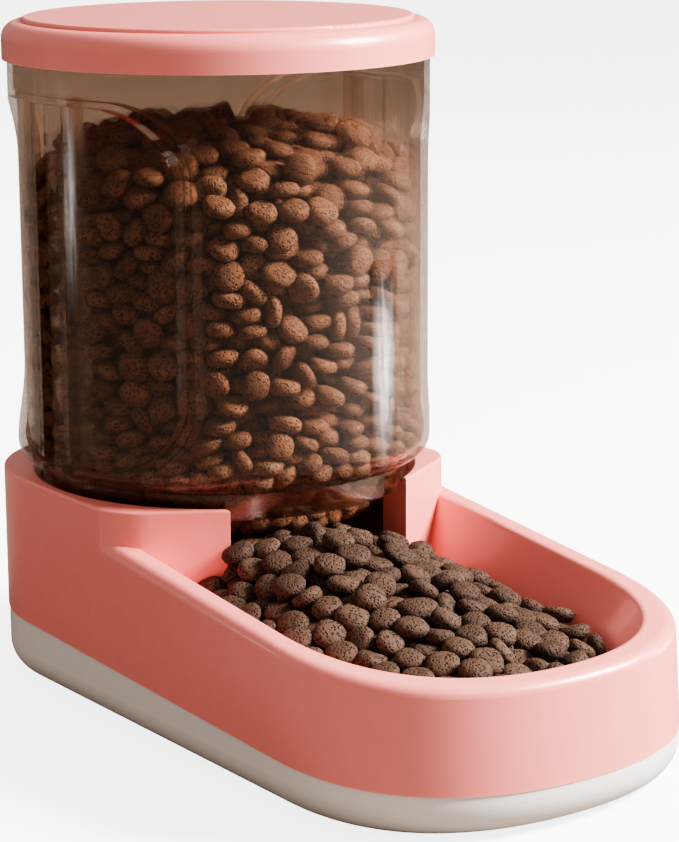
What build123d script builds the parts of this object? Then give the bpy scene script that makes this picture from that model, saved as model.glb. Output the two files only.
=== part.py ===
from build123d import *
from math import atan, tan, radians, sin, cos
import os

os.makedirs("parts", exist_ok=True)

# Gravity pet feeder, in millimetres. +Z is up, the bowl points along -Y and the feeder is
# symmetric about the plane X = 0. The origin is the centre of the whole feeder's box, on the
# surface that it stands on.

# ---- driving dimensions ----
front_reach = 246.5  # from the hopper's axis to the front of the bowl
back_reach = 87.5  # from the hopper's axis to the back of the base
base_half_width = 87.6
hopper_radius = 90.0
lid_radius = 92.1
lid_bottom = 271.7
lid_height = 15.6
collar_top = 93.5
rim_height = 83.9  # height of the rim's plane under the hopper's axis
rim_fall = 0.103  # how much the rim drops for each millimetre towards the front
seam_height = 28.5  # the same two for the seam between bowl shell and tray
seam_fall = 0.039
mouth_half_width = 45.0  # opening between the two webs of the collar
bowl_depth = 46.0
bowl_wall_angle = 26.0

# ---- walls, gaps and small sizes ----
shell_wall = 3.0
clear_wall = 2.5
lid_wall = 1.7
body_gap = 0.3  # between pieces that come apart
fit_gap = 0.1  # between pieces that are fastened together
rim_width = 10.8
back_corner = 62.0
bowl_back = 10.0  # behind the hopper's axis, where the bowl's walls end inside the well
bowl_back_corner = 24.0
front_rim_extra = 2.6  # the rim is wider than rim_width by this much at the front
floor_rounding = 12.0
web_front = -73.0  # front face of the collar's two webs
web_oblique = 0.58  # how far the webs' faces run back for each millimetre sideways
web_step = 18.0  # height of the web's outer side, seen from above
web_side_rounding = 30.0
web_corner_rounding = 3.0
front_arch = 79.0  # length of the rounded front
front_lean = 0.09  # how far the front wall leans in for each millimetre up
foot_height = 1.5  # how far the feet hold the tray off the surface
tray_floor = 3.0
tray_rounding = 13.0

# ---- derived places ----
overall_length = front_reach + lid_radius  # the lid overhangs the base's back
hopper_y = overall_length / 2 - lid_radius
rim_tilt = atan(rim_fall)
seam_tilt = atan(seam_fall)
rim_plane = Plane((0, hopper_y, rim_height), x_dir=(1, 0, 0), z_dir=(0, -sin(rim_tilt), cos(rim_tilt)))
seam_plane = Plane((0, hopper_y, seam_height), x_dir=(1, 0, 0), z_dir=(0, -sin(seam_tilt), cos(seam_tilt)))
seam_front = seam_height - seam_fall * front_reach
hopper_axis = Axis((0, hopper_y, 0), (0, 0, 1))
radial_plane = Plane((0, hopper_y, 0), x_dir=(1, 0, 0), z_dir=(0, -1, 0))  # X is radius, Y is height
side_plane = Plane((0, hopper_y, 0), x_dir=(0, 1, 0), z_dir=(1, 0, 0))  # X is depth, Y is height

# ---- hopper ----
hopper_top = lid_bottom + 12.3
neck_radius = 79.8
seat_height = 87.0  # ledge in the collar that carries the hopper
shoulder_bottom = 99.0
shoulder_radius = 8.0
grip_depth = 4.0
grip_half_width = 63.5
grip_bottom = 107.0
grip_top = 257.0
grip_corner = 30.0
channel_half_width = 12.5

# ---- well under the hopper ----
well_radius = 72.0
outlet_radius = 68.0
outlet_bottom = 78.0
ramp_back_height = 75.0
ramp_wall = 2.5

# ---- screws and feet, as offsets from the hopper's axis ----
base_screw_places = [(side * x, y) for side in (-1, 1) for x, y in ((57, 60), (70, -95), (66, -175))]
ramp_screw_places = [(x, y) for x in (-34, 34) for y in (-30, 34)]
foot_places = {
    "foot_front_left": (-46, -196),
    "foot_front_right": (46, -196),
    "foot_rear_left": (-50, 48),
    "foot_rear_right": (50, 48),
}
boss_radius = 5.5
pilot_radius = 1.55
hole_radius = 1.8
shank_radius = 1.5
shank_length = 14.0
head_radius = 3.1
head_height = 2.0
head_pocket_radius = 3.6
head_below_seam = 5.0  # thickness of tray plastic under each shell boss
pad_radius = 9.0
pad_height = 3.0
pocket_depth = 1.5


def above(height):
    """A level plane whose origin is on the hopper's axis."""
    return Plane((0, hopper_y, height))


def seam_level(y):
    """Height of the seam at a distance behind the hopper's axis."""
    return seam_height + seam_fall * y


def on_rim(edge):
    """True for an edge that lies in the rim's plane."""
    points = [edge @ share for share in (0, 0.3, 0.6, 1)]
    return all(abs(p.Z - rim_height - rim_fall * (p.Y - hopper_y)) < 0.05 for p in points)


def footprint(plane, half, front, back, corner, arch):
    """Rounded outline seen from above: square back with round corners, one long rounded front."""
    fullness = 0.64  # of the Bezier handles, a little squarer than an ellipse
    with BuildSketch(plane) as outline:
        with BuildLine():
            Line((half, back - corner), (half, front + arch))
            Bezier(
                (half, front + arch),
                (half, front + arch * (1 - fullness)),
                (half * fullness, front),
                (0, front),
            )
            Bezier(
                (0, front),
                (-half * fullness, front),
                (-half, front + arch * (1 - fullness)),
                (-half, front + arch),
            )
            Line((-half, front + arch), (-half, back - corner))
            RadiusArc((-half, back - corner), (-half + corner, back), corner)
            Line((-half + corner, back), (half - corner, back))
            RadiusArc((half - corner, back), (half, back - corner), corner)
        make_face()
    return outline.sketch


def wall_outline(height, grow=0.0):
    """The base's outer wall at one height, grown or shrunk evenly."""
    lean = front_lean * (height - seam_front)
    return footprint(
        above(height),
        base_half_width + grow,
        -front_reach + lean - grow,
        back_reach + grow,
        back_corner + grow,
        front_arch,
    )


def wall_block(bottom, top, grow=0.0):
    """A solid block inside the outer wall, between two heights."""
    with BuildPart() as block:
        loft([wall_outline(bottom, grow), wall_outline(top, grow)], ruled=True)
    return block.part


def bowl_outline(rise, grow=0.0):
    """The bowl's inner wall on a plane parallel to the rim, `rise` above it."""
    spread = rise * tan(radians(bowl_wall_angle)) + grow
    return footprint(
        rim_plane.offset(rise),
        base_half_width - rim_width + spread,
        -front_reach + rim_width + front_rim_extra - spread,
        bowl_back,
        bowl_back_corner,
        front_arch - 4,
    )


def front_zone(grow=0.0):
    """Everything in front of the collar, with the mouth between its webs."""
    collar_side = base_half_width + 1.5
    side_y = web_front + (collar_side - mouth_half_width) * web_oblique
    mouth_back = -45
    far = 2 * overall_length
    with BuildSketch(above(0)) as zone:
        with BuildLine():
            right = Polyline(
                (mouth_half_width, mouth_back),
                (mouth_half_width, web_front),
                (collar_side, side_y),
                (collar_side, side_y + web_step),
                (far, side_y + web_step),
                (far, -far),
                (0, -far),
            )
            mirror(right, about=Plane.YZ)
            Line((-mouth_half_width, mouth_back), (mouth_half_width, mouth_back))
        make_face()
        side_corners = zone.vertices().filter_by(lambda v: abs(abs(v.X) - collar_side) < 0.01)
        web_corners = zone.vertices().filter_by(lambda v: abs(v.Y - hopper_y - web_front) < 0.01)
        fillet(side_corners.group_by(Axis.Y)[0], radius=web_side_rounding)
        fillet(web_corners, radius=web_corner_rounding)
        if grow:
            offset(amount=grow)
    with BuildPart() as block:
        extrude(zone.sketch, amount=overall_length / 2)
    return block.part


def grip_block(grow, floor_drop):
    """What the two side grips take out of the barrel, with the finger channel down the middle."""
    height = grip_top - grip_bottom + 2 * grow
    centre = (grip_top + grip_bottom) / 2
    channel_top = grip_top + grow
    with BuildPart() as block:
        with BuildSketch(side_plane):
            with Locations((0, centre)):
                RectangleRounded(2 * (grip_half_width + grow), height, grip_corner)
        extrude(amount=hopper_radius + 5, both=True)
        with BuildSketch(above(0)):
            Circle(hopper_radius - grip_depth - floor_drop)
        extrude(amount=hopper_top, mode=Mode.SUBTRACT)
    with BuildPart() as channel:
        with BuildSketch(side_plane):
            with Locations((0, (channel_top + shoulder_bottom - 20) / 2)):
                Rectangle(2 * (channel_half_width + grow), channel_top - shoulder_bottom + 20)
        extrude(amount=hopper_radius + 5, both=True)
        with BuildSketch(above(0)):
            Circle(neck_radius - floor_drop)
        extrude(amount=hopper_top, mode=Mode.SUBTRACT)
    return block.part + channel.part


def barrel_form(inset):
    """The barrel's turned shape; the inside is the same profile set in by the wall."""
    wall = hopper_radius - inset
    neck = neck_radius - inset
    with BuildPart() as form:
        with BuildSketch(radial_plane):
            with BuildLine():
                Line((0, seat_height + body_gap), (neck, seat_height + body_gap))
                Line((neck, seat_height + body_gap), (neck, shoulder_bottom + inset))
                Line((neck, shoulder_bottom + inset), (wall - shoulder_radius, shoulder_bottom + inset))
                RadiusArc(
                    (wall - shoulder_radius, shoulder_bottom + inset),
                    (wall, shoulder_bottom + inset + shoulder_radius),
                    -shoulder_radius,
                )
                Line((wall, shoulder_bottom + inset + shoulder_radius), (wall, hopper_top))
                Line((wall, hopper_top), (0, hopper_top))
                Line((0, hopper_top), (0, seat_height + body_gap))
            make_face()
        revolve(axis=hopper_axis)
    return form.part


# ---- bowl shell ----
above_bowl = 25.0  # how far the bowl's hollow is carried on above the rim
lip_clearance = 0.8  # between the hopper's neck and the seat it stands in
lip_flare = 3.2

with BuildPart() as above_rim:
    add(front_zone())
    split(bisect_by=rim_plane, keep=Keep.TOP)

with BuildPart() as basin_void:
    loft([bowl_outline(-bowl_depth), bowl_outline(above_bowl)], ruled=True)
    floor_face = basin_void.faces().sort_by(Axis(rim_plane.origin, rim_plane.z_dir))[0]
    fillet(floor_face.edges(), radius=floor_rounding)
    add(front_zone(), mode=Mode.INTERSECT)

with BuildPart() as basin_keep:
    outside_floor = bowl_outline(-bowl_depth - shell_wall, shell_wall / 2)
    loft([outside_floor, bowl_outline(above_bowl, shell_wall)], ruled=True)
    add(front_zone(shell_wall), mode=Mode.INTERSECT)

# the bowl's own wall where it reaches down into the tray
with BuildPart() as basin_below:
    add(basin_keep.part)
    split(bisect_by=seam_plane.offset(2), keep=Keep.BOTTOM)
    with BuildSketch(above(0)):
        Circle(well_radius + 5)
    extrude(amount=collar_top, mode=Mode.SUBTRACT)

# the hollow under the shell, less the bowl, the well's wall and the screw bosses
with BuildPart() as low_hollow:
    add(wall_block(0, collar_top, -shell_wall))
    split(bisect_by=rim_plane.offset(-shell_wall), keep=Keep.BOTTOM)

with BuildPart() as underside:
    add(wall_block(0, seat_height - shell_wall, -shell_wall))
    add(front_zone(shell_wall), mode=Mode.SUBTRACT)
    add(low_hollow.part)
    add(basin_keep.part, mode=Mode.SUBTRACT)
    with BuildSketch(above(0)):
        Circle(well_radius + shell_wall)
    extrude(amount=collar_top, mode=Mode.SUBTRACT)
    with BuildSketch(above(0)):
        with Locations(*base_screw_places):
            Circle(boss_radius)
    extrude(amount=collar_top, mode=Mode.SUBTRACT)

with BuildPart() as bowl_shell:
    add(wall_block(seam_front - 5, collar_top))
    split(bisect_by=seam_plane, keep=Keep.TOP)
    add(above_rim.part, mode=Mode.SUBTRACT)
    top_edges = bowl_shell.edges().filter_by_position(Axis.Z, collar_top - 0.01, collar_top + 0.01)
    outer_edges = top_edges.filter_by(lambda edge: abs((edge @ 0.5).X) > 40 or (edge @ 0.5).Y > hopper_y)
    fillet(outer_edges, radius=1.2)
    rim_edges = bowl_shell.edges().filter_by(on_rim)
    outer_rim = rim_edges.filter_by(lambda edge: min(abs((edge @ 0).X), abs((edge @ 1).X)) > 85)
    fillet(outer_rim, radius=4.5)
    add(basin_below.part)
    add(basin_void.part, mode=Mode.SUBTRACT)
    rim_edges = bowl_shell.edges().filter_by(on_rim)
    inner_rim = rim_edges.filter_by(lambda edge: max(abs((edge @ 0).X), abs((edge @ 1).X)) < 80)
    fillet(inner_rim, radius=3)
    with BuildSketch(radial_plane):
        Polygon(
            (0, collar_top + 1),
            (neck_radius + lip_clearance + lip_flare + 1, collar_top + 1),
            (neck_radius + lip_clearance + lip_flare, collar_top),
            (neck_radius + lip_clearance, collar_top - lip_flare),
            (neck_radius + lip_clearance, seat_height),
            (0, seat_height),
            align=None,
        )
    revolve(axis=hopper_axis, mode=Mode.SUBTRACT)
    with BuildSketch(above(0)):
        Circle(well_radius)
    extrude(amount=collar_top, mode=Mode.SUBTRACT)
    lip_edges = bowl_shell.edges().filter_by_position(Axis.Z, collar_top - 0.01, collar_top + 0.01)
    fillet(lip_edges.sort_by(SortBy.LENGTH)[-1], radius=1)
    add(underside.part, mode=Mode.SUBTRACT)
    for x, y in base_screw_places:
        with Locations(above(seam_level(y)) * Location((x, y, 0))):
            Cylinder(pilot_radius, 2 * (shank_length - head_below_seam), mode=Mode.SUBTRACT)

# ---- hopper ----
with BuildPart() as hopper_void:
    add(barrel_form(clear_wall))
    add(grip_block(clear_wall, clear_wall), mode=Mode.SUBTRACT)
    with BuildSketch(above(seat_height - 5)):
        Circle(neck_radius - clear_wall)
    extrude(amount=10)
    with BuildSketch(above(hopper_top - 1)):
        Circle(hopper_radius - clear_wall)
    extrude(amount=5)

with BuildPart() as hopper_barrel:
    add(barrel_form(0))
    add(grip_block(0, 0), mode=Mode.SUBTRACT)
    add(hopper_void.part, mode=Mode.SUBTRACT)

with BuildPart() as hopper_outlet:
    funnel_top = shoulder_bottom - 2
    funnel_radius = neck_radius - clear_wall - fit_gap
    with BuildSketch(radial_plane):
        Polygon(
            (outlet_radius - clear_wall, outlet_bottom),
            (outlet_radius, outlet_bottom),
            (outlet_radius, seat_height + body_gap),
            (funnel_radius, seat_height + body_gap),
            (funnel_radius, funnel_top),
            (funnel_radius - 1, funnel_top),
            (outlet_radius - clear_wall, seat_height + 3),
            align=None,
        )
    revolve(axis=hopper_axis)

# ---- lid ----
lid_top = lid_bottom + lid_height
disc_radius = 83.2
disc_gap = 0.35
disc_thickness = 2.2
disc_rise = 1.7
disc_seat = lid_top + disc_rise - disc_thickness
lid_rounding = 7.0
plug_radius = 85.6
plug_wall = 2.0
seal_height = 4.0
seal_bottom = lid_bottom + 2.0
seal_radius = hopper_radius - clear_wall - body_gap

with BuildPart() as lid_shell:
    skirt_inner = lid_radius - lid_wall
    roof = hopper_top + body_gap
    with BuildSketch(radial_plane):
        with BuildLine():
            Line((0, roof), (plug_radius - plug_wall, roof))
            Line((plug_radius - plug_wall, roof), (plug_radius - plug_wall, lid_bottom))
            Line((plug_radius - plug_wall, lid_bottom), (plug_radius, lid_bottom))
            Polyline(
                (plug_radius, lid_bottom),
                (plug_radius, seal_bottom),
                (plug_radius - 0.8, seal_bottom),
                (plug_radius - 0.8, seal_bottom + seal_height),
                (plug_radius, seal_bottom + seal_height),
                (plug_radius, roof),
                (skirt_inner, roof),
                (skirt_inner, lid_bottom),
                (lid_radius, lid_bottom),
                (lid_radius, lid_top - lid_rounding),
            )
            RadiusArc(
                (lid_radius, lid_top - lid_rounding),
                (lid_radius - lid_rounding, lid_top),
                -lid_rounding,
            )
            Polyline(
                (lid_radius - lid_rounding, lid_top),
                (disc_radius + disc_gap, lid_top),
                (disc_radius + disc_gap, disc_seat),
                (0, disc_seat),
                (0, roof),
            )
        make_face()
    revolve(axis=hopper_axis)

with BuildPart() as lid_disc:
    with BuildSketch(above(disc_seat)):
        Circle(disc_radius)
    extrude(amount=disc_thickness)
    fillet(lid_disc.edges().group_by(Axis.Z)[-1], radius=1.2)

with BuildPart() as lid_seal:
    with BuildSketch(radial_plane):
        with Locations((plug_radius - 0.7, seal_bottom + seal_height / 2)):
            Rectangle(0.7, seal_height - 0.4, align=(Align.MIN, Align.CENTER))
            with Locations((0.7, 0.8), (0.7, -0.8)):
                Rectangle(seal_radius - plug_radius, 0.6, align=(Align.MIN, Align.CENTER))
    revolve(axis=hopper_axis)

# ---- ramp under the hopper ----
bowl_floor_front = rim_height - rim_fall * well_radius - bowl_depth / cos(rim_tilt)
ramp_fall = (ramp_back_height - bowl_floor_front) / (2 * well_radius)
ramp_tilt = atan(ramp_fall)
ramp_plane = Plane(
    (0, hopper_y, (ramp_back_height + bowl_floor_front) / 2),
    x_dir=(1, 0, 0),
    z_dir=(0, -sin(ramp_tilt), cos(ramp_tilt)),
)
tray_inside = foot_height + tray_floor
ramp_post_top = tray_inside + 3
ramp_screw_seat = ramp_post_top - 3

with BuildPart() as ramp_hollow:
    with BuildSketch(above(0)):
        Circle(well_radius - body_gap - ramp_wall)
        with Locations(*ramp_screw_places):
            Circle(boss_radius, mode=Mode.SUBTRACT)
    extrude(amount=collar_top)
    split(bisect_by=ramp_plane.offset(-ramp_wall), keep=Keep.BOTTOM)

with BuildPart() as feed_ramp:
    with BuildSketch(above(tray_inside)):
        Circle(well_radius - body_gap)
    extrude(amount=collar_top)
    split(bisect_by=ramp_plane, keep=Keep.BOTTOM)
    add(ramp_hollow.part, mode=Mode.SUBTRACT)
    for x, y in ramp_screw_places:
        with Locations(above(0) * Location((x, y, 0))):
            Cylinder(boss_radius + fit_gap, 2 * ramp_post_top, mode=Mode.SUBTRACT)
            Cylinder(pilot_radius, 2 * (ramp_screw_seat + shank_length), mode=Mode.SUBTRACT)

# ---- tray ----
tray_reveal = 0.5  # the tray stands in from the shell by this much at the seam
pocket_radius = pad_radius + 0.2

with BuildPart() as tray_hollow:
    add(wall_block(tray_inside, seam_height + 8, -shell_wall - tray_reveal))
    fillet(tray_hollow.faces().sort_by(Axis.Z)[0].edges(), radius=tray_rounding - shell_wall)
    for x, y in base_screw_places:
        with Locations(above(0) * Location((x, y, 0))):
            Cylinder(boss_radius, 2 * collar_top, mode=Mode.SUBTRACT)
    for x, y in ramp_screw_places:
        with Locations(above(0) * Location((x, y, 0))):
            Cylinder(boss_radius, 2 * ramp_post_top, mode=Mode.SUBTRACT)

with BuildPart() as base_tray:
    add(wall_block(foot_height, seam_height + 6, -tray_reveal))
    fillet(base_tray.faces().sort_by(Axis.Z)[0].edges(), radius=tray_rounding)
    add(tray_hollow.part, mode=Mode.SUBTRACT)
    split(bisect_by=seam_plane, keep=Keep.BOTTOM)
    for x, y in base_screw_places:
        with Locations(above(0) * Location((x, y, 0))):
            Cylinder(head_pocket_radius, 2 * (seam_level(y) - head_below_seam), mode=Mode.SUBTRACT)
            Cylinder(hole_radius, 2 * collar_top, mode=Mode.SUBTRACT)
    for x, y in ramp_screw_places:
        with Locations(above(0) * Location((x, y, 0))):
            Cylinder(hole_radius, 2 * collar_top, mode=Mode.SUBTRACT)
            Cylinder(head_pocket_radius, 2 * ramp_screw_seat, mode=Mode.SUBTRACT)
    for x, y in foot_places.values():
        with Locations(above(0) * Location((x, y, 0))):
            Cylinder(pocket_radius, 2 * (foot_height + pocket_depth), mode=Mode.SUBTRACT)


def screw(x, y, seat, length):
    """A pan-head screw driven upwards, with its head's upper face at `seat`."""
    cross_length = 3.2
    cross_width = 0.8
    cross_depth = 1.1
    with BuildPart() as body:
        with BuildSketch(Plane((x, hopper_y + y, 0), x_dir=(1, 0, 0), z_dir=(0, -1, 0))):
            with BuildLine():
                Polyline(
                    (head_radius, seat - head_height + 0.8),
                    (head_radius, seat),
                    (shank_radius, seat),
                    (shank_radius, seat + length - 2),
                    (0, seat + length),
                    (0, seat - head_height),
                    (head_radius - 1, seat - head_height),
                    (head_radius, seat - head_height + 0.8),
                )
            make_face()
        revolve(axis=Axis((x, hopper_y + y, 0), (0, 0, 1)))
        with BuildSketch(above(seat - head_height)):
            with Locations((x, y)):
                Rectangle(cross_length, cross_width)
                Rectangle(cross_width, cross_length)
        extrude(amount=cross_depth, mode=Mode.SUBTRACT)
    return body.part


with BuildPart() as base_screws:
    for x, y in base_screw_places:
        add(screw(x, y, seam_level(y) - head_below_seam, shank_length))

with BuildPart() as ramp_screws:
    for x, y in ramp_screw_places:
        add(screw(x, y, ramp_screw_seat, shank_length - 2))

pieces = {
    "bowl_shell": bowl_shell,
    "feed_ramp": feed_ramp,
    "base_tray": base_tray,
    "base_screws": base_screws,
    "ramp_screws": ramp_screws,
    "hopper_barrel": hopper_barrel,
    "hopper_outlet": hopper_outlet,
    "lid_shell": lid_shell,
    "lid_disc": lid_disc,
    "lid_seal": lid_seal,
}

# ---- feet: a rubber pad with a soft dome edge, pushed into each pocket ----
for name, (x, y) in foot_places.items():
    with BuildPart() as foot:
        with BuildSketch(above(0)):
            with Locations((x, y)):
                Circle(pad_radius)
        extrude(amount=pad_height)
        fillet(foot.faces().sort_by(Axis.Z)[0].edges(), radius=0.8)
    pieces[name] = foot

for name, piece in pieces.items():
    piece.part.label = name
    export_step(piece.part, f"parts/{name}.step")
    print(name, piece.part.volume, len(piece.part.solids()), piece.part.is_valid, piece.part.bounding_box())
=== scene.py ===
import math

import bpy
import numpy as np
from mathutils import Matrix, Vector
from mathutils.bvhtree import BVHTree


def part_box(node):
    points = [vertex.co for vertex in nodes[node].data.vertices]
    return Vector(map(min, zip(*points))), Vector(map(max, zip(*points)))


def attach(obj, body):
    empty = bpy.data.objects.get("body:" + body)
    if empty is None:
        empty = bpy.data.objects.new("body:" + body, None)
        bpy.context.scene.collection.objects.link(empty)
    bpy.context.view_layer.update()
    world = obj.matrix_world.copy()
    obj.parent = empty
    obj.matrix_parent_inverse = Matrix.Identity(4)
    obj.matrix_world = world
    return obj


# A gravity pet feeder: clear hopper of dry food standing in a pink bowl on a white tray.
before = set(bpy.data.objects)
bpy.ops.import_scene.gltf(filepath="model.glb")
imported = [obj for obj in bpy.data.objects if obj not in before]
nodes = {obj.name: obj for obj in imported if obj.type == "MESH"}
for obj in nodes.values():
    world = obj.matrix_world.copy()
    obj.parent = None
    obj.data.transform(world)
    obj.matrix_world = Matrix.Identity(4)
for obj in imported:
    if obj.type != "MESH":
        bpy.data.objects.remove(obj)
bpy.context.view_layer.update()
discLow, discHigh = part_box("lid_disc")
hopperX = (discLow.x + discHigh.x) / 2
hopperY = (discLow.y + discHigh.y) / 2


# Small helpers for shader trees.
def addNode(tree, kind, **settings):
    node = tree.nodes.new(kind)
    for name, value in settings.items():
        setattr(node, name, value)
    return node


def setInputs(node, **values):
    for name, value in values.items():
        node.inputs[name.replace("_", " ")].default_value = value
    return node


def mathNode(tree, operation, first, second=None):
    node = addNode(tree, "ShaderNodeMath", operation=operation)
    for index, value in enumerate((first, second)):
        if value is None:
            continue
        if isinstance(value, (int, float)):
            node.inputs[index].default_value = value
        else:
            tree.links.new(value, node.inputs[index])
    return node.outputs[0]


def noiseNode(tree, scale, detail, roughness=0.5, distortion=0.0):
    node = addNode(tree, "ShaderNodeTexNoise")
    setInputs(node, Scale=scale, Detail=detail, Roughness=roughness, Distortion=distortion)
    coordinates = addNode(tree, "ShaderNodeTexCoord")
    tree.links.new(coordinates.outputs["Object"], node.inputs["Vector"])
    return node.outputs["Fac"]


def rampNode(tree, factor, stops):
    node = addNode(tree, "ShaderNodeValToRGB")
    elements = node.color_ramp.elements
    while len(elements) < len(stops):
        elements.new(0.5)
    for element, (position, colour) in zip(elements, stops):
        element.position = position
        element.color = colour
    tree.links.new(factor, node.inputs["Fac"])
    return node.outputs["Color"]


def mixColour(tree, factor, first, second, blend="MIX"):
    node = addNode(tree, "ShaderNodeMix", data_type="RGBA", blend_type=blend)
    for socket, value in ((node.inputs[0], factor), (node.inputs[6], first), (node.inputs[7], second)):
        if isinstance(value, (int, float, tuple)):
            socket.default_value = value
        else:
            tree.links.new(value, socket)
    return node.outputs[2]


def grey(value):
    return (value, value, value, 1.0)


def newGroup(name, inputs, outputs):
    tree = bpy.data.node_groups.new(name, "ShaderNodeTree")
    for title, kind, value in inputs:
        socket = tree.interface.new_socket(title, in_out="INPUT", socket_type=kind)
        socket.default_value = value
    for title, kind in outputs:
        tree.interface.new_socket(title, in_out="OUTPUT", socket_type=kind)
    return tree, addNode(tree, "NodeGroupInput"), addNode(tree, "NodeGroupOutput")


def useGroup(tree, group, **values):
    node = addNode(tree, "ShaderNodeGroup", node_tree=group)
    return setInputs(node, **values)


def newMaterial(name):
    material = bpy.data.materials.new(name)
    material.use_nodes = True
    return material, material.node_tree, material.node_tree.nodes["Principled BSDF"]


# Effects shared by several materials.
def makeMouldGrain():
    group, inside, outside = newGroup(
        "mouldGrain",
        [("Size", "NodeSocketFloat", 900.0)],
        [("Height", "NodeSocketFloat"), ("Gloss", "NodeSocketFloat")],
    )
    coordinates = addNode(group, "ShaderNodeTexCoord")
    fine = setInputs(addNode(group, "ShaderNodeTexNoise"), Detail=4.0, Roughness=0.6)
    group.links.new(coordinates.outputs["Object"], fine.inputs["Vector"])
    group.links.new(inside.outputs["Size"], fine.inputs["Scale"])
    flow = noiseNode(group, 28.0, 3.0, 0.55, 0.4)  # slow unevenness of a moulded wall
    height = mathNode(group, "ADD", mathNode(group, "MULTIPLY", fine.outputs["Fac"], 0.35), flow)
    group.links.new(height, outside.inputs["Height"])
    patches = noiseNode(group, 75.0, 5.0, 0.62, 0.8)
    gloss = mathNode(group, "ADD", patches, mathNode(group, "MULTIPLY", fine.outputs["Fac"], 0.3))
    group.links.new(gloss, outside.inputs["Gloss"])
    return group


# Mask on sharp edges, broken up by noise: rubbed wear on the plastics and steel, painted shade lines on
# the clear wall.
def makeEdgeWearAndShade():
    group, inside, outside = newGroup(
        "edgeWearAndShade",
        [("Radius", "NodeSocketFloat", 0.0012)],
        [("Mask", "NodeSocketFloat")],
    )
    bevel = addNode(group, "ShaderNodeBevel", samples=4)
    group.links.new(inside.outputs["Radius"], bevel.inputs["Radius"])
    geometry = addNode(group, "ShaderNodeNewGeometry")
    facing = addNode(group, "ShaderNodeVectorMath", operation="DOT_PRODUCT")
    group.links.new(bevel.outputs["Normal"], facing.inputs[0])
    group.links.new(geometry.outputs["Normal"], facing.inputs[1])
    edge = mathNode(group, "MULTIPLY", mathNode(group, "SUBTRACT", 1.0, facing.outputs["Value"]), 6.0)
    broken = mathNode(group, "MULTIPLY", edge, noiseNode(group, 210.0, 3.0))
    clipped = addNode(group, "ShaderNodeClamp")
    group.links.new(broken, clipped.inputs["Value"])
    group.links.new(clipped.outputs["Result"], outside.inputs["Mask"])
    return group


def makeFineDust():
    group, inside, outside = newGroup(
        "fineDust",
        [("Amount", "NodeSocketFloat", 0.2)],
        [("Mask", "NodeSocketFloat")],
    )
    geometry = addNode(group, "ShaderNodeNewGeometry")
    split = addNode(group, "ShaderNodeSeparateXYZ")
    group.links.new(geometry.outputs["Normal"], split.inputs["Vector"])
    upward = mathNode(group, "POWER", mathNode(group, "MAXIMUM", split.outputs["Z"], 0.0), 3.0)
    specks = rampNode(group, noiseNode(group, 420.0, 6.0, 0.7), [(0.48, grey(0.0)), (0.7, grey(1.0))])
    scattered = mathNode(group, "MULTIPLY", upward, specks)
    mask = mathNode(group, "MULTIPLY", scattered, inside.outputs["Amount"])
    group.links.new(mask, outside.inputs["Mask"])
    return group


mouldGrain = makeMouldGrain()
edgeWearAndShade = makeEdgeWearAndShade()
fineDust = makeFineDust()


def makeMouldedPlastic(name, look):
    material, tree, shader = newMaterial(name)
    grain = useGroup(tree, mouldGrain, Size=look["grainSize"])
    edgeMask = useGroup(tree, edgeWearAndShade, Radius=look["edgeRadius"])
    dust = useGroup(tree, fineDust, Amount=look["dust"])
    base = mixColour(tree, grain.outputs["Gloss"], look["colour"], look["colourDeep"])
    worn = mixColour(tree, edgeMask.outputs["Mask"], base, look["edgeColour"])
    dusty = mixColour(tree, dust.outputs["Mask"], worn, look["dustColour"])
    tree.links.new(dusty, shader.inputs["Base Color"])
    low, high = look["roughness"]
    rough = mathNode(tree, "ADD", mathNode(tree, "MULTIPLY", grain.outputs["Gloss"], high - low), low)
    dustRough = mathNode(tree, "MULTIPLY", dust.outputs["Mask"], 0.3)
    tree.links.new(mathNode(tree, "ADD", rough, dustRough), shader.inputs["Roughness"])
    bump = addNode(tree, "ShaderNodeBump")
    setInputs(bump, Strength=look["bumpStrength"], Distance=look["bumpDepth"])
    tree.links.new(grain.outputs["Height"], bump.inputs["Height"])
    tree.links.new(bump.outputs["Normal"], shader.inputs["Normal"])
    setInputs(shader, Coat_Weight=look["coat"], Coat_Roughness=0.12, IOR=1.5)
    return material


pinkLook = {
    "colour": (0.86, 0.255, 0.235, 1.0),
    "colourDeep": (0.82, 0.225, 0.205, 1.0),
    "edgeColour": (0.87, 0.36, 0.335, 1.0),
    "dustColour": (0.82, 0.74, 0.68, 1.0),
    "roughness": (0.24, 0.40),
    "grainSize": 1400.0,
    "edgeRadius": 0.0012,
    "dust": 0.10,
    "bumpStrength": 0.18,
    "bumpDepth": 0.0004,
    "coat": 0.25,
}
whiteLook = {
    **pinkLook,
    "colour": (0.80, 0.775, 0.75, 1.0),
    "colourDeep": (0.75, 0.72, 0.69, 1.0),
    "edgeColour": (0.84, 0.83, 0.81, 1.0),
    "dustColour": (0.60, 0.54, 0.47, 1.0),
    "dust": 0.06,
    "coat": 0.1,
}
rampLook = {
    **pinkLook,
    "colour": (0.62, 0.16, 0.14, 1.0),
    "colourDeep": (0.56, 0.13, 0.12, 1.0),
    "edgeColour": (0.7, 0.3, 0.27, 1.0),
    "dustColour": (0.36, 0.2, 0.1, 1.0),
    "dust": 0.5,
}
pinkPlastic = makeMouldedPlastic("pinkPlastic", pinkLook)
whitePlastic = makeMouldedPlastic("whitePlastic", whiteLook)
rampPlastic = makeMouldedPlastic("rampPlastic", rampLook)

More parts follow.
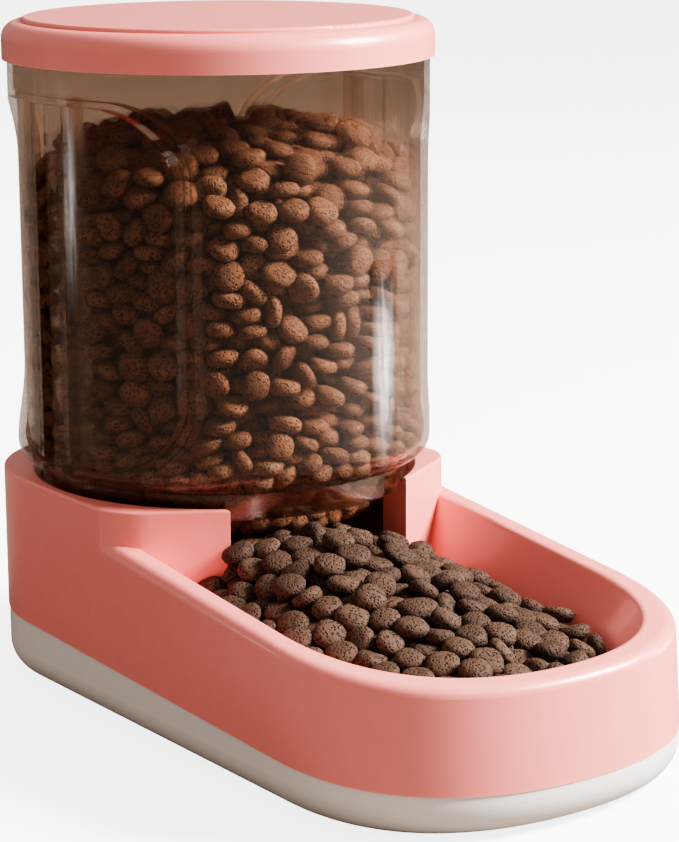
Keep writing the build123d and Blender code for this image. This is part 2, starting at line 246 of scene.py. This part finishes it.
smokyLook = {
    "tint": (0.92, 0.80, 0.71, 1.0),  # what one wall lets through
    "tintDeep": (0.88, 0.75, 0.65, 1.0),
    # painted shade: dark brown lines along the clear wall's edges and steps
    "paintedEdgeShade": (0.22, 0.12, 0.08, 1.0),
    "edgeRadius": 0.0018,
    "shadowTint": (0.95, 0.89, 0.84, 1.0),  # one surface, for light on its way to the food
    "roughness": (0.02, 0.07),
    "straightShare": 0.3,  # light that passes without bending
    "bend": 1.13,
    "coat": 0.7,
    "bumpStrength": 0.12,
    "bumpDepth": 0.0005,
}


def makeSmokyClear():
    material, tree, shader = newMaterial("smokyClear")
    haze = noiseNode(tree, 22.0, 4.0, 0.6, 0.5)
    edgeMask = useGroup(tree, edgeWearAndShade, Radius=smokyLook["edgeRadius"])
    wall = mixColour(tree, haze, smokyLook["tint"], smokyLook["tintDeep"])
    # painted shade: the wall's edges and steps are darkened in its colour
    edged = mixColour(tree, edgeMask.outputs["Mask"], wall, smokyLook["paintedEdgeShade"])
    tree.links.new(edged, shader.inputs["Base Color"])
    low, high = smokyLook["roughness"]
    smears = noiseNode(tree, 60.0, 6.0, 0.65, 1.2)
    smudge = rampNode(tree, smears, [(0.42, grey(low)), (0.75, grey(high))])
    tree.links.new(smudge, shader.inputs["Roughness"])
    ripple = noiseNode(tree, 16.0, 2.0, 0.4, 0.3)
    bump = addNode(tree, "ShaderNodeBump")
    setInputs(bump, Strength=smokyLook["bumpStrength"], Distance=smokyLook["bumpDepth"])
    tree.links.new(ripple, bump.inputs["Height"])
    tree.links.new(bump.outputs["Normal"], shader.inputs["Normal"])
    # a thin wall bends little, so the gloss comes from the coat
    setInputs(shader, Transmission_Weight=1.0, IOR=smokyLook["bend"])
    setInputs(shader, Coat_Weight=smokyLook["coat"], Coat_IOR=1.5, Coat_Roughness=0.02)
    clear = addNode(tree, "ShaderNodeBsdfTransparent")
    clear.inputs["Color"].default_value = smokyLook["shadowTint"]
    path = addNode(tree, "ShaderNodeLightPath")
    mix = addNode(tree, "ShaderNodeMixShader")
    through = mathNode(tree, "MAXIMUM", path.outputs["Is Shadow Ray"], path.outputs["Is Diffuse Ray"])
    # part of the light goes straight through, so steps and edges stay clear
    tree.links.new(mathNode(tree, "MAXIMUM", through, smokyLook["straightShare"]), mix.inputs["Fac"])
    tree.links.new(shader.outputs["BSDF"], mix.inputs[1])
    tree.links.new(clear.outputs["BSDF"], mix.inputs[2])
    tree.links.new(mix.outputs["Shader"], tree.nodes["Material Output"].inputs["Surface"])
    return material


smokyClear = makeSmokyClear()

kibbleLook = {
    "crust": (0.105, 0.052, 0.030),
    "crustLight": (0.185, 0.100, 0.062),
    # darker mottle of the crust, and painted shade in the pores
    "crustDarkAndPoreShade": (0.014, 0.006, 0.004),
    "hopperPaintedLight": 1.25,  # painted light: a brightened copy of the crust for the food behind the clear wall
    # painted shade: a darkened copy of the same crust for the food in the bowl
    "bowlPaintedShade": 0.72,
    "poreSize": 820.0,
    "poreDepth": 0.0008,
    "bumpStrength": 0.75,
    "roughness": (0.55, 0.8),
    "specular": 0.2,
}


# One crust in a lit and a shaded copy: the scale is painted light and painted shade, not a different
# food.
def makeKibbleCrust(name, paintedLightScale):
    material, tree, shader = newMaterial(name)
    plain, light, darkToneAndPoreShade = (
        tuple(paintedLightScale * part for part in kibbleLook[key]) + (1.0,)
        for key in ("crust", "crustLight", "crustDarkAndPoreShade")
    )
    shade = addNode(tree, "ShaderNodeAttribute", attribute_name="shade")
    body = rampNode(tree, shade.outputs["Fac"], [(0.0, plain), (1.0, light)])
    mottle = noiseNode(tree, 260.0, 6.0, 0.68, 0.6)
    mottled = mixColour(tree, mathNode(tree, "MULTIPLY", mottle, 0.75), body, darkToneAndPoreShade)
    coordinates = addNode(tree, "ShaderNodeTexCoord")
    pores = addNode(tree, "ShaderNodeTexVoronoi")
    setInputs(pores, Scale=kibbleLook["poreSize"], Randomness=1.0)
    tree.links.new(coordinates.outputs["Object"], pores.inputs["Vector"])
    pit = rampNode(tree, pores.outputs["Distance"], [(0.20, grey(0.0)), (0.46, grey(1.0))])
    gate = rampNode(tree, noiseNode(tree, 260.0, 3.0), [(0.56, grey(0.0)), (0.72, grey(1.0))])
    solid = mathNode(tree, "MAXIMUM", pit, gate)  # pores come in clusters
    # painted shade: the pores are coloured near black as well as bumped in
    coloured = mixColour(tree, solid, darkToneAndPoreShade, mottled)
    tree.links.new(coloured, shader.inputs["Base Color"])
    low, high = kibbleLook["roughness"]
    rough = mathNode(tree, "ADD", mathNode(tree, "MULTIPLY", mottle, high - low), low)
    tree.links.new(rough, shader.inputs["Roughness"])
    crumb = noiseNode(tree, 900.0, 5.0, 0.7)
    relief = mathNode(tree, "ADD", solid, mottle)
    height = mathNode(tree, "ADD", mathNode(tree, "MULTIPLY", crumb, 0.55), relief)
    bump = addNode(tree, "ShaderNodeBump")
    setInputs(bump, Strength=kibbleLook["bumpStrength"], Distance=kibbleLook["poreDepth"])
    tree.links.new(height, bump.inputs["Height"])
    tree.links.new(bump.outputs["Normal"], shader.inputs["Normal"])
    shader.inputs["Specular IOR Level"].default_value = kibbleLook["specular"]
    return material


hopperCrustPaintedLit = makeKibbleCrust("hopperKibbleCrustPaintedLit", kibbleLook["hopperPaintedLight"])
bowlCrustPaintedShade = makeKibbleCrust("bowlKibbleCrustPaintedShade", kibbleLook["bowlPaintedShade"])

softLook = {
    "silicone": (0.72, 0.70, 0.68, 1.0),
    "rubber": (0.30, 0.29, 0.28, 1.0),
    "dustColour": (0.6, 0.55, 0.5, 1.0),
    "grainSize": 700.0,
    "roughness": (0.55, 0.75),
}


def makeSoftRubber(name, colour):
    material, tree, shader = newMaterial(name)
    grain = useGroup(tree, mouldGrain, Size=softLook["grainSize"])
    dust = useGroup(tree, fineDust, Amount=0.3)
    darker = tuple(0.8 * part for part in colour[:3]) + (1.0,)
    base = mixColour(tree, grain.outputs["Gloss"], colour, darker)
    dusty = mixColour(tree, dust.outputs["Mask"], base, softLook["dustColour"])
    tree.links.new(dusty, shader.inputs["Base Color"])
    low, high = softLook["roughness"]
    rough = mathNode(tree, "ADD", mathNode(tree, "MULTIPLY", grain.outputs["Gloss"], high - low), low)
    tree.links.new(rough, shader.inputs["Roughness"])
    bump = setInputs(addNode(tree, "ShaderNodeBump"), Strength=0.4, Distance=0.0004)
    tree.links.new(grain.outputs["Height"], bump.inputs["Height"])
    tree.links.new(bump.outputs["Normal"], shader.inputs["Normal"])
    return material


screwLook = {
    "steel": (0.55, 0.55, 0.54, 1.0),
    "steelDark": (0.42, 0.42, 0.42, 1.0),
    "edgeColour": (0.78, 0.78, 0.76, 1.0),
    "edgeRadius": 0.0004,
    "grainSize": 2200.0,
    "roughness": (0.2, 0.45),
}


def makeScrewSteel():
    material, tree, shader = newMaterial("screwSteel")
    grain = useGroup(tree, mouldGrain, Size=screwLook["grainSize"])
    edgeMask = useGroup(tree, edgeWearAndShade, Radius=screwLook["edgeRadius"])
    base = mixColour(tree, grain.outputs["Gloss"], screwLook["steel"], screwLook["steelDark"])
    worn = mixColour(tree, edgeMask.outputs["Mask"], base, screwLook["edgeColour"])
    tree.links.new(worn, shader.inputs["Base Color"])
    low, high = screwLook["roughness"]
    rough = mathNode(tree, "ADD", mathNode(tree, "MULTIPLY", grain.outputs["Gloss"], high - low), low)
    tree.links.new(rough, shader.inputs["Roughness"])
    setInputs(shader, Metallic=1.0)
    return material


sealSilicone = makeSoftRubber("sealSilicone", softLook["silicone"])
footRubber = makeSoftRubber("footRubber", softLook["rubber"])
screwSteel = makeScrewSteel()
print("materials made")

finishes = {
    "bowl_shell": pinkPlastic,
    "lid_shell": pinkPlastic,
    "lid_disc": pinkPlastic,
    "base_tray": whitePlastic,
    "feed_ramp": rampPlastic,
    "hopper_barrel": smokyClear,
    "hopper_outlet": smokyClear,
    "lid_seal": sealSilicone,
    "base_screws": screwSteel,
    "ramp_screws": screwSteel,
}
for name, node in nodes.items():
    finish = finishes.get(name, footRubber)
    node.data.materials.clear()
    node.data.materials.append(finish)
print("CAD nodes finished")

# The dry food: discs about 14 mm across, settled into the hopper and the bowl.
foodLook = {
    "radius": 0.0069,
    "halfThickness": 0.0034,
    "sizeSpread": 0.09,
    "tilt": 0.40,  # how far the discs start from lying flat, in radians
    "levelling": 0.02,  # how strongly they turn back to lying flat at each step
    "loose": 0.22,  # share of the discs that stand at any angle
    "hopperCount": 1970,
    "hopperTop": 0.247,
    "bowlCount": 530,
    "seed": 7,
}


def turnMatrices(turns):
    angle = np.linalg.norm(turns, axis=1)
    axis = turns / np.maximum(angle, 1e-12)[:, None]
    cross = np.zeros((len(turns), 3, 3))
    cross[:, 0, 1], cross[:, 0, 2] = -axis[:, 2], axis[:, 1]
    cross[:, 1, 0], cross[:, 1, 2] = axis[:, 2], -axis[:, 0]
    cross[:, 2, 0], cross[:, 2, 1] = -axis[:, 1], axis[:, 0]
    sine = np.sin(angle)[:, None, None]
    cosine = np.cos(angle)[:, None, None]
    return np.eye(3) + sine * cross + (1 - cosine) * (cross @ cross)


# Each kibble is seven balls in a disc. The balls push one another and the walls, and the disc follows.
def settlePile(centres, random, walls, lean, rounds):
    ball = foodLook["halfThickness"]
    reach = foodLook["radius"] - ball
    spokes = np.arange(6) * math.pi / 3
    rim = np.column_stack([np.cos(spokes), np.sin(spokes), 0 * spokes]) * reach
    offsets = np.vstack([[0, 0, 0], rim])
    count = len(centres)
    loose = (random.random(count) < foodLook["loose"])[:, None]
    spread = np.where(loose, (1.6, 1.6, 2.0), (foodLook["tilt"], foodLook["tilt"], 2.0))
    turns = turnMatrices(random.normal(size=(count, 3)) * spread)
    for step in range(rounds):
        if step % 4 == 0:  # which discs are near enough to touch
            square = (centres ** 2).sum(1)
            gaps = np.sqrt(np.maximum(square[:, None] + square[None] - 2 * centres @ centres.T, 0))
            pairs = np.argwhere(np.triu(gaps < 2.2 * foodLook["radius"], 1))
        pull = 1.0 if step < rounds * 0.8 else 0.25
        upward = lean(centres)
        centres = centres - upward * 0.00025 * pull
        arms = np.einsum("nij,kj->nki", turns, offsets)
        balls = centres[:, None] + arms
        shift = np.zeros_like(balls)
        touches = np.zeros(balls.shape[:2])
        first, second = pairs[:, 0], pairs[:, 1]
        apart = balls[first][:, :, None] - balls[second][:, None]
        distance = np.linalg.norm(apart, axis=3)
        overlap = np.maximum(2 * ball - distance, 0)
        push = apart * (overlap / np.maximum(distance, 1e-9) / 2)[..., None]
        np.add.at(shift, first, push.sum(2))
        np.add.at(shift, second, -push.sum(1))
        np.add.at(touches, first, (overlap > 0).sum(2))
        np.add.at(touches, second, (overlap > 0).sum(1))
        pressed = walls(balls, ball)
        shift += pressed
        touches += np.linalg.norm(pressed, axis=2) > 0
        total = np.maximum(touches.sum(1), 1)
        centres = centres + shift.sum(1) / total[:, None] * 1.4
        spin = np.cross(arms, shift).sum(1) / (total * reach * reach)[:, None]
        size = np.linalg.norm(spin, axis=1)
        spin *= np.minimum(1, 0.2 / np.maximum(size, 1e-9))[:, None]
        normals = turns[:, :, 2]
        facing = np.sign((normals * upward).sum(1))[:, None] * upward
        spin += np.where(loose, 0, foodLook["levelling"]) * np.cross(normals, facing)
        turns = turnMatrices(spin) @ turns
        if step % 20 == 19:
            axis, _, other = np.linalg.svd(turns)
            turns = axis @ other
    return centres, turns


def kibbleShapes(random, variants=8, around=14, rings=6):
    shapes = []
    for _ in range(variants):
        lumps = random.normal(size=(4, 3))
        points = []
        for ring in range(1, rings + 1):
            slope = math.pi * ring / (rings + 1)
            for index in range(around):
                angle = 2 * math.pi * index / around
                flat = math.sin(slope) ** 0.62
                height = math.copysign(abs(math.cos(slope)) ** 0.85, math.cos(slope))
                points.append((flat * math.cos(angle), flat * math.sin(angle), height))
        points += [(0, 0, 0.94), (0, 0, -0.94)]
        points = np.array(points)
        swell = 1 + 0.035 * sum(np.sin(points @ lump * 2.2 + index) for index, lump in enumerate(lumps))
        points *= swell[:, None]
        narrow = foodLook["radius"] * random.uniform(0.9, 1.0)
        points *= (foodLook["radius"], narrow, foodLook["halfThickness"])
        shapes.append(points)
    faces = []
    for ring in range(rings - 1):
        for index in range(around):
            after = (index + 1) % around
            here, below = ring * around, (ring + 1) * around
            faces.append((here + index, below + index, below + after, here + after))
    top, bottom = rings * around, rings * around + 1
    last = (rings - 1) * around
    for index in range(around):
        after = (index + 1) % around
        faces.append((top, index, after))
        faces.append((bottom, last + after, last + index))
    return shapes, faces


def makeKibblePiece(name, centres, turns, random, body, crust):
    shapes, faces = kibbleShapes(random)
    points, corners, shades = [], [], []
    for centre, turn in zip(centres, turns):
        shape = shapes[random.integers(len(shapes))] * random.normal(1, foodLook["sizeSpread"] / 2)
        start = len(points) * len(shapes[0])
        points.append(shape @ turn.T + centre)
        corners += [tuple(start + corner for corner in face) for face in faces]
        shades += [random.random()] * len(shape)
    mesh = bpy.data.meshes.new(name)
    mesh.from_pydata(np.vstack(points).tolist(), [], corners)
    mesh.shade_smooth()
    mesh.attributes.new("shade", "FLOAT", "POINT").data.foreach_set("value", shades)
    mesh.materials.append(crust)
    piece = bpy.data.objects.new(name, mesh)
    bpy.context.scene.collection.objects.link(piece)
    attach(piece, body)
    return piece


barrelTree = BVHTree.FromObject(nodes["hopper_barrel"], bpy.context.evaluated_depsgraph_get())
shellTree = BVHTree.FromObject(nodes["bowl_shell"], bpy.context.evaluated_depsgraph_get())


# How far from a middle line a hollow's wall is, by direction and height.
def wallTable(tree, middle, heights, around):
    table = np.zeros((len(heights), around))
    for row, height in enumerate(heights):
        for column in range(around):
            angle = 2 * math.pi * column / around
            start = Vector((middle[0], middle[1], height))
            hit = tree.ray_cast(start, Vector((math.cos(angle), math.sin(angle), 0)), 0.2)
            table[row, column] = hit[3] if hit[0] is not None else 0.2
    return table


def readTable(table, heights, angles, levels):
    around = table.shape[1]
    rows = np.clip((levels - heights[0]) / (heights[1] - heights[0]), 0, len(heights) - 1.001)
    columns = (angles / (2 * math.pi) * around) % around
    row, column = rows.astype(int), columns.astype(int) % around
    after = (column + 1) % around
    across, along = rows - row, columns - np.floor(columns)
    lower = table[row, column] * (1 - along) + table[row, after] * along
    upper = table[row + 1, column] * (1 - along) + table[row + 1, after] * along
    return lower * (1 - across) + upper * across


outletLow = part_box("hopper_outlet")[0]
outletTree = BVHTree.FromObject(nodes["hopper_outlet"], bpy.context.evaluated_depsgraph_get())
hopperHeights = np.linspace(outletLow.z + 0.002, foodLook["hopperTop"] + 0.03, 60)
barrelWall = wallTable(barrelTree, (hopperX, hopperY), hopperHeights, 120)
outletWall = wallTable(outletTree, (hopperX, hopperY), hopperHeights, 120)
hopperWall = np.minimum(barrelWall, outletWall)
hopperFloor = outletLow.z + 0.0015
shoulderFloor = 0.1020
shoulderRadius = 0.0765
coreRadius = 0.062
neckCoreRadius = 0.046
coreTop = foodLook["hopperTop"] - 0.027


def hopperWalls(balls, ball):
    push = np.zeros_like(balls)
    flat = balls[..., :2] - (hopperX, hopperY)
    distance = np.maximum(np.linalg.norm(flat, axis=2), 1e-6)
    outward = flat / distance[..., None]
    angles = np.arctan2(flat[..., 1], flat[..., 0])
    wall = readTable(hopperWall, hopperHeights, angles, balls[..., 2])
    push[..., :2] -= outward * np.maximum(distance + ball + 0.0004 - wall, 0)[..., None]
    core = np.where(balls[..., 2] < shoulderFloor, neckCoreRadius, coreRadius)
    deep = (distance < core + ball) & (balls[..., 2] < coreTop + ball)
    sideways = core + ball - distance
    upwards = coreTop + ball - balls[..., 2]
    side = deep & (sideways < upwards)
    push[..., :2] += outward * np.where(side, sideways, 0)[..., None]
    push[..., 2] += np.where(deep & ~side, upwards, 0)
    floor = np.where(distance > shoulderRadius, shoulderFloor, hopperFloor)
    push[..., 2] += np.maximum(floor + ball - balls[..., 2], 0)
    return push


foodRandom = np.random.default_rng(foodLook["seed"])
settleRounds = 240


def upright(places):
    return np.array([[0.0, 0.0, 1.0]])


def fillHopper():
    starts = []
    while len(starts) < foodLook["hopperCount"]:
        x, y = foodRandom.uniform(-0.08, 0.08, 2)
        z = foodRandom.uniform(hopperFloor + 0.006, foodLook["hopperTop"] + 0.012)
        away = math.hypot(x, y)
        outer, core = (0.080, coreRadius) if z > shoulderFloor + 0.004 else (0.060, neckCoreRadius)
        if away < outer and (away > core + 0.005 or z > coreTop + 0.004):
            starts.append((hopperX + x, hopperY + y, z))
    centres, turns = settlePile(np.array(starts), foodRandom, hopperWalls, upright, settleRounds)
    print("hopper filled")
    kept = centres[:, 2] < foodLook["hopperTop"]
    return centres[kept], turns[kept]


hopperCentres, hopperTurns = fillHopper()
leftHalf = hopperCentres[:, 0] < hopperX
for foodName, half in (("hopper_food_left", leftHalf), ("hopper_food_right", ~leftHalf)):
    makeKibblePiece(foodName, hopperCentres[half], hopperTurns[half], foodRandom, "hopper", hopperCrustPaintedLit)


def makeFoodCore():
    around, rows = 48, 24
    points, faces = [], []
    low, high = hopperFloor, coreTop + 0.003
    for row in range(rows + 1):
        for index in range(around):
            angle = 2 * math.pi * index / around
            height = low + (high - low) * row / rows
            radius = coreRadius if height > shoulderFloor else neckCoreRadius
            radius += 0.0035 + 0.0015 * math.sin(7 * angle + 2.1 * row) * math.cos(5 * angle - row)
            x, y = radius * math.cos(angle), radius * math.sin(angle)
            points.append((hopperX + x, hopperY + y, height))
    for row in range(rows):
        for index in range(around):
            after = (index + 1) % around
            here, above = row * around, (row + 1) * around
            faces.append((here + index, here + after, above + after, above + index))
    faces.append(tuple(reversed(range(around))))
    faces.append(tuple(rows * around + index for index in range(around)))
    mesh = bpy.data.meshes.new("hopper_food_core")
    mesh.from_pydata(points, [], faces)
    mesh.attributes.new("shade", "FLOAT", "POINT").data.foreach_set("value", [0.0] * len(points))
    mesh.materials.append(hopperCrustPaintedLit)
    piece = bpy.data.objects.new("hopper_food_core", mesh)
    bpy.context.scene.collection.objects.link(piece)
    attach(piece, "hopper")


makeFoodCore()

# The bowl's heap is highest in the mouth under the hopper and spreads out to the front.
bowlLook = {
    "backY": -0.050,  # all in metres from the hopper's axis
    "frontY": -0.235,
    "peak": (-0.014, -0.076),
    "peakRise": 0.038,
    "spread": (0.062, 0.103),  # to the sides and to the front
    "level": 0.051,
    "depth": 0.024,
    "underOutlet": 0.0765,
    "ringRadius": 0.0745,
}
bowlSetback = 0.150
bowlMiddle = (hopperX, hopperY - bowlSetback)
bowlHeights = np.linspace(0.026, 0.090, 17)
bowlWall = wallTable(shellTree, bowlMiddle, bowlHeights, 240)


def heapTop(x, y):
    across = (x - hopperX - bowlLook["peak"][0]) / bowlLook["spread"][0]
    along = (y - hopperY - bowlLook["peak"][1]) / bowlLook["spread"][1]
    return bowlLook["level"] + bowlLook["peakRise"] * np.exp(-across ** 2 - along ** 2)


def heapLean(places):
    step = 0.001
    x, y = places[..., 0], places[..., 1]
    slopeX = (heapTop(x + step, y) - heapTop(x - step, y)) / (2 * step)
    slopeY = (heapTop(x, y + step) - heapTop(x, y - step)) / (2 * step)
    normal = np.stack([-slopeX, -slopeY, np.ones_like(slopeX)], axis=-1)
    return normal / np.linalg.norm(normal, axis=-1, keepdims=True)


def bowlWalls(balls, ball):
    push = np.zeros_like(balls)
    flat = balls[..., :2] - bowlMiddle
    distance = np.maximum(np.linalg.norm(flat, axis=2), 1e-6)
    outward = flat / distance[..., None]
    wall = readTable(bowlWall, bowlHeights, np.arctan2(flat[..., 1], flat[..., 0]), balls[..., 2])
    push[..., :2] -= outward * np.maximum(distance + ball + 0.0008 - wall, 0)[..., None]
    floor = heapTop(balls[..., 0], balls[..., 1]) - bowlLook["depth"]
    push += heapLean(balls) * np.maximum(floor + ball - balls[..., 2], 0)[..., None]
    push[..., 1] -= np.maximum(balls[..., 1] + ball - hopperY - bowlLook["backY"], 0)
    away = np.hypot(balls[..., 0] - hopperX, balls[..., 1] - hopperY)
    covered = away < bowlLook["ringRadius"]
    push[..., 2] -= np.where(covered, np.maximum(balls[..., 2] + ball - bowlLook["underOutlet"], 0), 0)
    return push


def fillBowl():
    starts = []
    while len(starts) < foodLook["bowlCount"]:
        x = foodRandom.uniform(-0.075, 0.075)
        y = foodRandom.uniform(bowlLook["frontY"] + 0.012, bowlLook["backY"] - 0.008)
        floor = heapTop(hopperX + x, hopperY + y) - bowlLook["depth"]
        z = foodRandom.uniform(floor + 0.004, floor + bowlLook["depth"] + 0.006)
        away = math.hypot(x, y + bowlSetback)
        towards = np.array([math.atan2(y + bowlSetback, x)])
        limit = readTable(bowlWall, bowlHeights, towards, np.array([z]))[0]
        if away < limit - 0.009:
            starts.append((hopperX + x, hopperY + y, z))
    centres, turns = settlePile(np.array(starts), foodRandom, bowlWalls, heapLean, settleRounds)
    over = centres[:, 2] - heapTop(centres[:, 0], centres[:, 1])
    print("bowl filled")
    kept = over < 0
    return centres[kept], turns[kept]


bowlCentres, bowlTurns = fillBowl()
makeKibblePiece("bowl_food", bowlCentres, bowlTurns, foodRandom, "base", bowlCrustPaintedShade)
print("food settled")

studioLook = {
    "floorColour": (0.86, 0.86, 0.86, 1.0),
    "floorBounce": (0.21, 0.17, 0.145, 1.0),  # what the floor gives back to the object
    "floorGlow": 2.6,
    "worldColour": (1.0, 0.86, 0.77, 1.0),
    "worldStrength": 0.74,
    "keyPower": 185.0,
    "keyColour": (1.0, 0.97, 0.94),
    "keyAzimuth": 53.0,
    "keyElevation": 33.0,
    "keySize": 0.65,
    "keyDistance": 1.9,
    # name, azimuth, distance from the hopper's axis, height, width and height of the card, brightness
    "cards": (
        ("right_card", 57.0, 0.44, 0.070, 0.17, 0.12, 62.0),
        ("left_card", -119.0, 0.49, 0.160, 0.09, 0.15, 14.0),
    ),
    "glossShare": 0.45,  # of the world's light that shows in reflections
}


def makeFloor():
    points = [(-9, -9, 0), (9, -9, 0), (9, 9, 0), (-9, 9, 0)]
    mesh = bpy.data.meshes.new("studio_floor")
    mesh.from_pydata(points, [], [(0, 1, 2, 3)])
    material, tree, shader = newMaterial("paleFloor")
    tone = mixColour(tree, noiseNode(tree, 3.0, 2.0), studioLook["floorColour"], grey(0.84))
    path = addNode(tree, "ShaderNodeLightPath")
    seen = path.outputs["Is Camera Ray"]
    tree.links.new(mixColour(tree, seen, studioLook["floorBounce"], tone), shader.inputs["Base Color"])
    shader.inputs["Emission Color"].default_value = grey(1.0)
    glow = mathNode(tree, "MULTIPLY", seen, studioLook["floorGlow"])
    tree.links.new(glow, shader.inputs["Emission Strength"])
    setInputs(shader, Roughness=0.7)
    mesh.materials.append(material)
    floor = bpy.data.objects.new("studio_floor", mesh)
    bpy.context.scene.collection.objects.link(floor)


def addAreaLight(name, azimuth, elevation, distance, size, power, colour):
    data = bpy.data.lights.new(name, "AREA")
    data.shape = "RECTANGLE"
    data.size, data.size_y = size
    data.energy = power
    data.color = colour
    light = bpy.data.objects.new(name, data)
    bpy.context.scene.collection.objects.link(light)
    turn, rise = math.radians(azimuth), math.radians(elevation)
    back = Vector((math.sin(turn) * math.cos(rise), -math.cos(turn) * math.cos(rise), math.sin(rise)))
    light.location = Vector((0, 0, 0.13)) + back * distance
    light.rotation_mode = "QUATERNION"
    light.rotation_quaternion = (-back).to_track_quat("-Z", "Y")


# A low bright card, softest at its edges, whose reflection runs down the clear wall.
def makeCard(name, azimuth, distance, height, wide, high, brightness):
    turn = math.radians(azimuth)
    away = Vector((math.sin(turn), -math.cos(turn), 0))
    across = Vector((math.cos(turn), math.sin(turn), 0)) * wide / 2
    rise = Vector((0, 0, high / 2))
    middle = Vector((hopperX, hopperY, height)) + away * distance
    under, over = middle - rise, middle + rise
    corners = [under - across, under + across, over + across, over - across]
    mesh = bpy.data.meshes.new(name)
    mesh.from_pydata([tuple(corner) for corner in corners], [], [(0, 1, 2, 3)])
    material, tree, shader = newMaterial(name + "Glow")
    place = addNode(tree, "ShaderNodeAttribute", attribute_name="spread")
    split = addNode(tree, "ShaderNodeSeparateXYZ")
    tree.links.new(place.outputs["Vector"], split.inputs["Vector"])
    fades = []
    for axis in ("X", "Y"):
        centred = mathNode(tree, "ABSOLUTE", mathNode(tree, "SUBTRACT", split.outputs[axis], 0.5))
        inward = mathNode(tree, "SUBTRACT", 1.0, mathNode(tree, "MULTIPLY", centred, 2.0))
        fades.append(mathNode(tree, "POWER", inward, 1.5))
    torn = rampNode(tree, noiseNode(tree, 38.0, 4.0), [(0.36, grey(0.25)), (0.56, grey(1.0))])
    glow = mathNode(tree, "MULTIPLY", mathNode(tree, "MULTIPLY", fades[0], fades[1]), torn)
    tree.links.new(mathNode(tree, "MULTIPLY", glow, brightness), shader.inputs["Emission Strength"])
    shader.inputs["Emission Color"].default_value = studioLook["keyColour"] + (1.0,)
    shader.inputs["Base Color"].default_value = grey(0.0)
    spread = mesh.attributes.new("spread", "FLOAT_VECTOR", "POINT")
    spread.data.foreach_set("vector", [0, 0, 0, 1, 0, 0, 1, 1, 0, 0, 1, 0])
    mesh.materials.append(material)
    card = bpy.data.objects.new(name, mesh)
    bpy.context.scene.collection.objects.link(card)
    card.visible_camera = card.visible_diffuse = False  # seen only as a reflection
    card.visible_transmission = card.visible_shadow = False


def makeStudio():
    makeFloor()
    world = bpy.data.worlds.new("studioWorld")
    world.use_nodes = True
    background = world.node_tree.nodes["Background"]
    background.inputs["Color"].default_value = studioLook["worldColour"]
    tree = world.node_tree
    path = addNode(tree, "ShaderNodeLightPath")
    dimmed = mathNode(tree, "MULTIPLY", path.outputs["Is Glossy Ray"], 1 - studioLook["glossShare"])
    kept = mathNode(tree, "SUBTRACT", 1.0, dimmed)
    strength = mathNode(tree, "MULTIPLY", kept, studioLook["worldStrength"])
    tree.links.new(strength, background.inputs["Strength"])
    bpy.context.scene.world = world
    bpy.context.scene.view_settings.look = "AgX - Medium High Contrast"
    size = studioLook["keySize"]
    azimuth, elevation = studioLook["keyAzimuth"], studioLook["keyElevation"]
    power, colour = studioLook["keyPower"], studioLook["keyColour"]
    addAreaLight("keyLight", azimuth, elevation, studioLook["keyDistance"], (size, size), power, colour)
    for card in studioLook["cards"]:
        makeCard(*card)


cameraLook = {
    "place": (-0.6329, -0.9020, 0.3752),
    "target": (0.0412, 0.0480, 0.1113),
    "rollDegrees": -0.33,
    "lens": 116.3,
}


def makeCamera():
    data = bpy.data.cameras.new("studioCamera")
    data.lens = cameraLook["lens"]
    data.sensor_width = 36.0
    data.clip_start, data.clip_end = 0.05, 20.0
    camera = bpy.data.objects.new("studioCamera", data)
    bpy.context.scene.collection.objects.link(camera)
    place = Vector(cameraLook["place"])
    forward = (Vector(cameraLook["target"]) - place).normalized()
    right = forward.cross(Vector((0, 0, 1))).normalized()
    up = right.cross(forward)
    roll = math.radians(cameraLook["rollDegrees"])
    tilted = right * math.cos(roll) + up * math.sin(roll)
    upper = up * math.cos(roll) - right * math.sin(roll)
    turn = Matrix((tilted, upper, -forward)).transposed().to_4x4()
    camera.matrix_world = Matrix.Translation(place) @ turn
    bpy.context.scene.camera = camera


makeStudio()
makeCamera()
print("studio ready")
